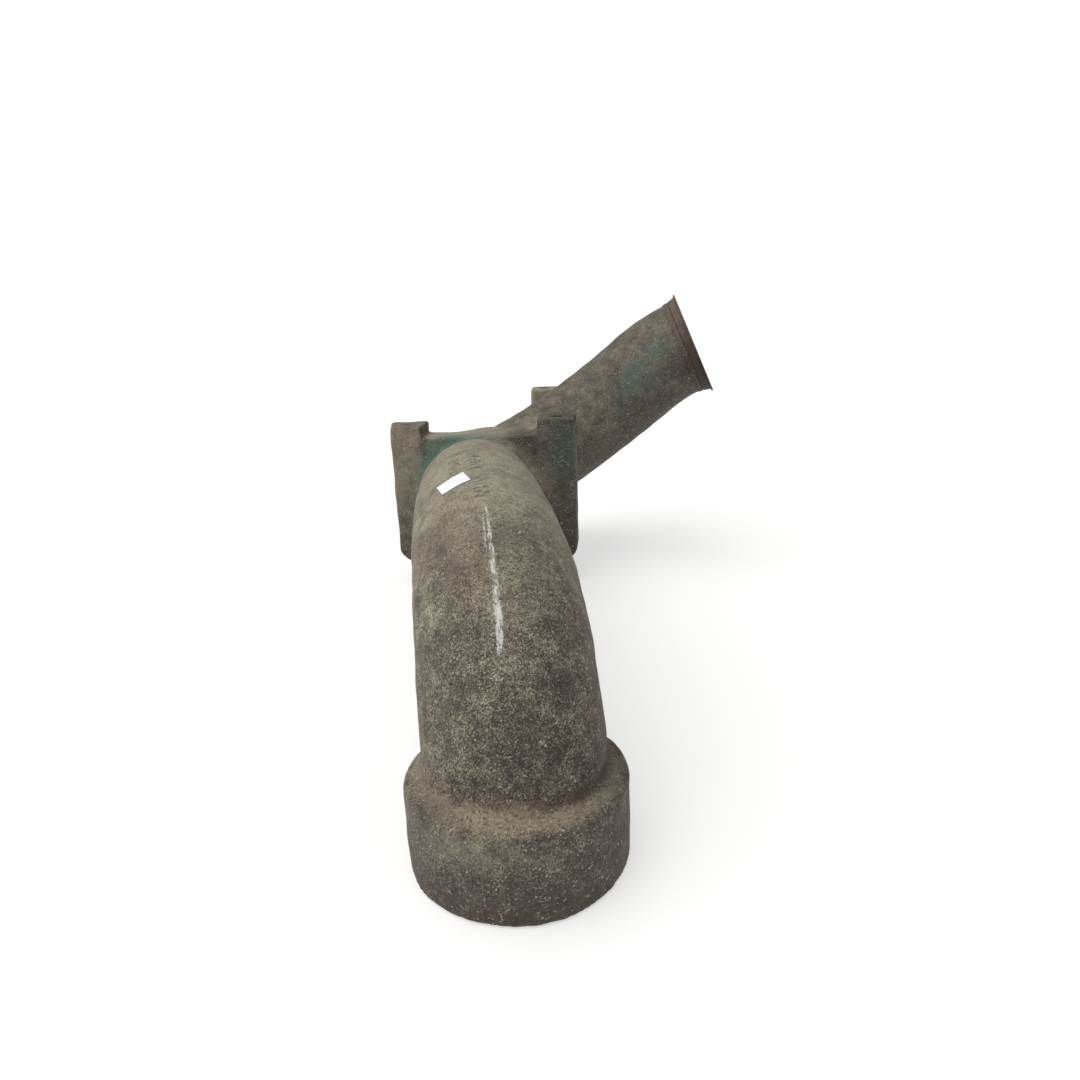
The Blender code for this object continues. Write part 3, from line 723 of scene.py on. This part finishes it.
    ink = None
    for s0, s1, a0, a1, pitch, seed in (
        (226, 286, -23.0, -14.5, 15.0, 1),
        (237, 294, -8.5, 0.8, 16.0, 2),
        (184, 214, -9.0, 0.8, 10.0, 3),
    ):
        inside = g.math("MULTIPLY", g.math("GREATER_THAN", s, s0), g.math("LESS_THAN", s, s1))
        inside = g.math("MULTIPLY", inside, g.math("MULTIPLY", g.math("GREATER_THAN", a, a0), g.math("LESS_THAN", a, a1)))
        phase = g.math("FRACT", g.math("DIVIDE", g.math("SUBTRACT", s, s0), pitch))
        long_ = g.math("LESS_THAN", g.math("ABSOLUTE", g.math("SUBTRACT", phase, 0.22)), 0.11)
        short = g.math("LESS_THAN", g.math("ABSOLUTE", g.math("SUBTRACT", phase, 0.55)), 0.09)
        third = g.math("LESS_THAN", g.math("ABSOLUTE", g.math("SUBTRACT", phase, 0.82)), 0.07)
        reach = g.math("GREATER_THAN", a, a0 + (a1 - a0) * (0.25 + 0.12 * seed))
        reach2 = g.math("LESS_THAN", a, a0 + (a1 - a0) * 0.7)
        stroke = g.math("MAXIMUM", long_, g.math("MAXIMUM", g.math("MULTIPLY", short, reach), g.math("MULTIPLY", third, reach2)))
        stroke = g.math("MULTIPLY", stroke, inside)
        ink = stroke if ink is None else g.math("MAXIMUM", ink, stroke)
    worn = g.map(g.noise(mm, 4.5, 4, 0.7, 0, 61), 0.40, 0.54, 0.1, 0.8)
    colour = g.mix(g.math("MULTIPLY", g.math("MULTIPLY", ink, worn), on_pipe), colour, (0.055, 0.050, 0.045))

    g.put(g.shader.inputs["Base Color"], colour)
    g.put(g.shader.inputs["Roughness"], g.map(v, 0.1, 0.9, 0.62, 0.9))
    g.shader.inputs["Specular IOR Level"].default_value = 0.32
    height = g.math("MULTIPLY_ADD", mid, 0.8, g.math("MULTIPLY", fine, 0.55))
    height = g.math("MULTIPLY_ADD", grit, 0.3, height)
    height = g.math("MULTIPLY_ADD", pit, -0.25, height)
    g.put(g.shader.inputs["Normal"], g.bump(height, 1.0, 0.0011))
    return g.mat


def flange_material(name):
    g = Graph(name)
    mm = g.object_mm()
    mid = g.noise(mm, 6, 5, 0.65, 0.3, 7)
    fine = g.noise(mm, 1.4, 3, 0.6, 0, 19)
    v = g.math("MULTIPLY_ADD", g.math("SUBTRACT", fine, 0.5), 0.6, mid)
    colour = g.ramp(
        v, ((0.2, (0.030, 0.020, 0.015)), (0.5, (0.090, 0.063, 0.043)), (0.75, (0.16, 0.12, 0.085)), (0.95, (0.28, 0.24, 0.18)))
    )
    split = g.node("ShaderNodeSeparateXYZ")
    g.put(split.inputs[0], mm)
    # The flange darker towards the bottom.
    colour = g.mix(g.map(split.outputs[2], 200, 275, 0.78, 0.0), colour, (0.022, 0.015, 0.013))
    g.put(g.shader.inputs["Base Color"], colour)
    g.put(g.shader.inputs["Roughness"], g.map(v, 0.2, 0.9, 0.55, 0.85))
    g.shader.inputs["Metallic"].default_value = 0.25
    g.put(g.shader.inputs["Normal"], g.bump(v, 0.6, 0.0006))
    return g.mat


def rubber_material(name):
    g = Graph(name)
    mm = g.object_mm()
    fine = g.noise(mm, 1.2, 3, 0.6)
    g.put(g.shader.inputs["Base Color"], g.ramp(fine, ((0.3, (0.012, 0.012, 0.013)), (0.8, (0.05, 0.048, 0.045)))))
    g.put(g.shader.inputs["Roughness"], g.map(fine, 0.2, 0.8, 0.5, 0.8))
    g.put(g.shader.inputs["Normal"], g.bump(fine, 0.3, 0.0003))
    return g.mat


def label_material(name):
    g = Graph(name)
    mm = g.object_mm()
    fine = g.noise(mm, 0.8, 4, 0.6)
    smudge = g.noise(mm, 7, 4, 0.6, 0, 9)
    split = g.node("ShaderNodeSeparateXYZ")
    g.put(split.inputs[0], g.attribute("sheet", "Vector"))
    u, v = split.outputs[0], split.outputs[1]  # mm from the middle: along the pipe, round it
    colour = g.ramp(smudge, ((0.3, (0.66, 0.67, 0.69)), (0.7, (0.86, 0.87, 0.90))))
    # A few faint printed dashes that spell nothing.
    marks_ = None
    for u0, v0, du, dv in ((0.5, 0.0, 0.9, 2.6), (0.5, 4.2, 0.9, 0.7), (-3.4, -1.5, 0.5, 3.4), (3.8, 1.8, 0.5, 2.2)):
        box = g.math(
            "MULTIPLY",
            g.math("LESS_THAN", g.math("ABSOLUTE", g.math("SUBTRACT", u, u0)), du),
            g.math("LESS_THAN", g.math("ABSOLUTE", g.math("SUBTRACT", v, v0)), dv),
        )
        marks_ = box if marks_ is None else g.math("MAXIMUM", marks_, box)
    worn = g.map(g.noise(mm, 1.6, 2, 0.5, 0, 3), 0.42, 0.6, 0.0, 0.45)
    colour = g.mix(g.math("MULTIPLY", marks_, worn), colour, (0.22, 0.23, 0.30))
    edge = g.math("MAXIMUM", g.map(g.math("ABSOLUTE", u), 10.2, 11.6), g.map(g.math("ABSOLUTE", v), 9.4, 10.6))
    colour = g.mix(g.math("MULTIPLY", edge, 0.25), colour, (0.40, 0.37, 0.32))
    g.put(g.shader.inputs["Base Color"], colour)
    g.shader.inputs["Roughness"].default_value = 0.5
    g.put(g.shader.inputs["Normal"], g.bump(g.math("ADD", fine, smudge), 0.15, 0.0003))
    return g.mat


# ------------------------------------------------------------------ build the casting
(main_points, main_quads), (rear_points, rear_quads) = mesh_fields()


def outward(points, quads):
    p = points[quads]
    volume = np.einsum("ij,ij->i", p[:, 0], np.cross(p[:, 1], p[:, 2])).sum()
    volume += np.einsum("ij,ij->i", p[:, 0], np.cross(p[:, 2], p[:, 3])).sum()
    return quads if volume > 0 else quads[:, ::-1]


CAST = cast_material("cast_iron_worn")
RUSTY = flange_material("rusty_flange")


def settle(obj, mat, smooth=True):
    obj.data.materials.clear()
    obj.data.materials.append(mat)
    if obj.name not in bpy.context.scene.collection.objects:
        bpy.context.scene.collection.objects.link(obj)
    return obj


def piece_from(edit, name, mat=None):
    mesh = bpy.data.meshes.new(name)
    edit.to_mesh(mesh)
    obj = settle(bpy.data.objects.new(name, mesh), mat or CAST)
    set_marks(obj)
    return obj


whole = bmesh.new()
whole.from_mesh(make_mesh("casting", main_points, outward(main_points, main_quads)))
for f in whole.faces:
    f.smooth = True
islands(whole, 400)

front, behind = cut(whole, world_of(0, -14), EY)
whole.free()
# The bell and its neck fillet come off the inlet pipe just above the shoulder.
bell_part, inlet_part = cut(front, (0, 0, 56.6), (0, 0, 1))
front.free()
run_cut, run_tangent = along(135.2)
inlet_bend_part, inlet_run_part = cut(inlet_part, run_cut, run_tangent)
inlet_part.free()
middle, outlet_part = cut(behind, world_of(0, 44), EY)
behind.free()
left_part, rest = cut(middle, world_of(LEFT_IN, 0), EX)
middle.free()
web_part, right_part = cut(rest, world_of(RIGHT_IN, 0), EX)
rest.free()
riser_cut, riser_tangent = along(675.0)
outlet_bend_part, riser_part = cut(outlet_part, riser_cut, riser_tangent)
outlet_part.free()
rear_part = bmesh.new()
rear_part.from_mesh(make_mesh("rear", rear_points, outward(rear_points, rear_quads)))
for f in rear_part.faces:
    f.smooth = True
islands(rear_part, 400)

for edit, name, nodes, slot in (
    (bell_part, "bell_casting", ("inlet_bell", "neck_weld"), "cast_body"),
    (inlet_bend_part, "inlet_bend_casting", ("inlet_bend",), "cast_body"),
    (inlet_run_part, "inlet_run_casting", ("inlet_run",), "cast_body"),
    (left_part, "left_post_casting", ("post_front_left",), "cast_body"),
    (web_part, "web_casting", ("bracket_web", "front_weld", "rear_weld"), "cast_body"),
    (right_part, "right_post_casting", ("post_front_right",), "cast_green"),
    (outlet_bend_part, "outlet_bend_casting", ("outlet_bend",), "cast_body"),
    (riser_part, "riser_casting", ("outlet_riser",), "cast_body"),
    (rear_part, "rear_post_casting", ("post_rear", "rear_gusset"), "cast_rusty"),
):
    made = piece_from(edit, name)
    edit.free()
    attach(made, "root")
    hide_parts(*nodes)


# ------------------------------------------------------------------ turned pieces
def turned(name, profile, matrix, mat, steps=144):
    """A closed profile of (radius, height) in mm turned round an axis, as one closed mesh."""
    edit = bmesh.new()
    rings = []
    for i in range(steps):
        a = 2 * math.pi * i / steps
        rings.append([edit.verts.new(matrix @ Vector((r * math.cos(a), r * math.sin(a), z))) for r, z in profile])
    for i in range(steps):
        one, two = rings[i], rings[(i + 1) % steps]
        for j in range(len(profile)):
            k = (j + 1) % len(profile)
            edit.faces.new((one[j], two[j], two[k], one[k]))
    for v in edit.verts:
        v.co *= 0.001
    bmesh.ops.recalc_face_normals(edit, faces=edit.faces)
    mesh = bpy.data.meshes.new(name)
    edit.to_mesh(mesh)
    edit.free()
    mesh.shade_smooth()
    mesh.set_sharp_from_angle(angle=math.radians(38))
    return settle(bpy.data.objects.new(name, mesh), mat)


def arc(cr, cz, radius, a0, a1, n=6):
    return [
        (cr + radius * math.cos(math.radians(a0 + (a1 - a0) * i / n)), cz + radius * math.sin(math.radians(a0 + (a1 - a0) * i / n)))
        for i in range(n + 1)
    ]


end_point, end_tangent = along(LENGTH)
end_matrix = Matrix.Translation(Vector(end_point)) @ Vector(end_tangent).to_track_quat("Z", "Y").to_matrix().to_4x4()
flange = turned(
    "vee_flange_visual",
    [(BORE_R, -9.7), (BORE_R, -0.5), (BORE_R + 0.5, 0.0)]
    + arc(56.8 - 0.8, -0.8, 0.8, 90, 0)
    + arc(56.8 - 0.6, -1.4, 0.6, 0, -90)
    + [(55.4, -2.2)]
    + arc(55.0, -3.2, 0.9, 100, 190, 4)
    + [(53.4, -6.0), (53.0, -8.2)]
    + [(52.7, -9.4), (52.3, -9.7)],
    end_matrix,
    RUSTY,
)
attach(flange, "root")
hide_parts("outlet_vee_flange")

sleeve = turned(
    "sleeve_visual",
    [(51.2, -9.9)] + arc(52.4 - 0.8, -10.7, 0.8, 90, 0, 4) + arc(52.3 - 0.9, -14.0, 0.9, 0, -50, 5) + [(51.3, -16.7), (50.9, -16.7)],
    end_matrix,
    CAST,
)
set_marks(sleeve)
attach(sleeve, "root")
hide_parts("outlet_sleeve")

seal = turned(
    "seal_ring_visual",
    [(57.7, 13.3), (57.7, 18.7), (54.4, 18.7)] + arc(54.2, 16.0, 0.8, 100, 260, 6) + [(54.4, 13.3)],
    Matrix.Identity(4),
    rubber_material("seal_rubber"),
)
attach(seal, "root")
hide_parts("bell_seal_ring")


# ------------------------------------------------------------------ label
def label_piece():
    nu, nv, thick = 26, 24, 0.22
    skew = math.radians(-10.0)
    edit = bmesh.new()
    sheets, plain = [], []
    for side in (0, 1):
        rows = []
        for i in range(nu + 1):
            row = []
            for j in range(nv + 1):
                u0, v0 = (i / nu - 0.5) * 23.0, (j / nv - 0.5) * 21.0
                u = u0 * math.cos(skew) - v0 * math.sin(skew)
                v = u0 * math.sin(skew) + v0 * math.cos(skew)
                p, t = along(220.0 + u)
                sd = np.cross(t, (0, 0, 1.0))
                sd /= np.linalg.norm(sd)
                up = np.cross(sd, t)
                turn = math.radians(-23.9) + v / 51.6
                out = up * math.cos(turn) + sd * math.sin(turn)
                base = p + out * PIPE_R
                lift = 0.12 + float(unevenness(base[None])[0])
                corner = max(0.0, abs(u0) / 11.5 + abs(v0) / 10.5 - 1.75) * 1.6
                point = base + out * (lift + 0.15 + corner + thick * side)
                row.append(edit.verts.new(point * 0.001))
                plain.append((u0, v0, 0.0))
            rows.append(row)
        sheets.append(rows)
    for side, rows in enumerate(sheets):
        for i in range(nu):
            for j in range(nv):
                f = (rows[i][j], rows[i + 1][j], rows[i + 1][j + 1], rows[i][j + 1])
                edit.faces.new(f if side else f[::-1])
    lowr, upr = sheets
    loop = [(i, 0) for i in range(nu)] + [(nu, j) for j in range(nv)] + [(i, nv) for i in range(nu, 0, -1)] + [(0, j) for j in range(nv, 0, -1)]
    for (a, b), (c, d) in zip(loop, loop[1:] + loop[:1]):
        edit.faces.new((lowr[a][b], lowr[c][d], upr[c][d], upr[a][b]))
    bmesh.ops.recalc_face_normals(edit, faces=edit.faces)
    mesh = bpy.data.meshes.new("label_visual")
    edit.to_mesh(mesh)
    edit.free()
    attribute = mesh.attributes.new("sheet", "FLOAT_VECTOR", "POINT")
    attribute.data.foreach_set("vector", np.array(plain, np.float32).ravel())
    mesh.shade_smooth()
    mesh.set_sharp_from_angle(angle=math.radians(40))
    return settle(bpy.data.objects.new("label_visual", mesh), label_material("label_paper"))


label = label_piece()
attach(label, "root")
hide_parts("stock_label")

# ------------------------------------------------------------------ stage, light, camera
scene = bpy.context.scene
scene.view_settings.view_transform = "Standard"
scene.view_settings.look = "None"

floor_mesh = bpy.data.meshes.new("floor")
edit = bmesh.new()
bmesh.ops.create_circle(edit, cap_ends=True, segments=96, radius=30.0)
bmesh.ops.translate(edit, vec=(0, 0, -0.0004), verts=edit.verts)
edit.to_mesh(floor_mesh)
edit.free()
paper = bpy.data.materials.new("pale_floor")
paper.use_nodes = True
paper.node_tree.nodes["Principled BSDF"].inputs["Base Color"].default_value = (0.46, 0.46, 0.46, 1)
paper.node_tree.nodes["Principled BSDF"].inputs["Emission Color"].default_value = (1, 1, 1, 1)
paper.node_tree.nodes["Principled BSDF"].inputs["Emission Strength"].default_value = 0.50
paper.node_tree.nodes["Principled BSDF"].inputs["Roughness"].default_value = 0.9
paper.node_tree.nodes["Principled BSDF"].inputs["Specular IOR Level"].default_value = 0.1
floor = settle(bpy.data.objects.new("floor", floor_mesh), paper)
floor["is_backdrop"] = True

world = bpy.data.worlds.new("studio")
world.use_nodes = True
world.node_tree.nodes["Background"].inputs["Color"].default_value = (1.0, 1.0, 1.0, 1)
backdrop = world.node_tree.nodes["Background"]
seen = world.node_tree.nodes.new("ShaderNodeLightPath")
level = world.node_tree.nodes.new("ShaderNodeMapRange")
level.inputs["To Min"].default_value = 0.55
level.inputs["To Max"].default_value = 1.05
world.node_tree.links.new(seen.outputs["Is Camera Ray"], level.inputs["Value"])
world.node_tree.links.new(level.outputs["Result"], backdrop.inputs["Strength"])
scene.world = world


sun_data = bpy.data.lights.new("key", "SUN")
sun_data.energy = 2.5
sun_data.angle = math.radians(75)
sun_data.color = (1.0, 0.985, 0.95)
sun = bpy.data.objects.new("key", sun_data)
scene.collection.objects.link(sun)
sun.rotation_euler = (Vector((0, 0, 0)) - Vector((-0.55, -0.12, 1.0))).to_track_quat("-Z", "Y").to_euler()

camera_data = bpy.data.cameras.new("camera")
camera_data.sensor_width = 36.0
camera_data.sensor_fit = "HORIZONTAL"
camera_data.lens = 25.940
camera_data.clip_start = 0.01
camera_data.clip_end = 100.0
camera = bpy.data.objects.new("camera", camera_data)
right = Vector((0.98448473, -0.17244985, -0.0324169))
down = Vector((-0.08263145, -0.2926514, -0.95264222))
ahead = Vector((0.15479616, 0.94054038, -0.30236062))
turn = Matrix((right, -down, -ahead)).transposed().to_4x4()
camera.matrix_world = Matrix.Translation((-0.04263, -0.36317, 0.29490)) @ turn
scene.collection.objects.link(camera)
scene.camera = camera

low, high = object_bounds()
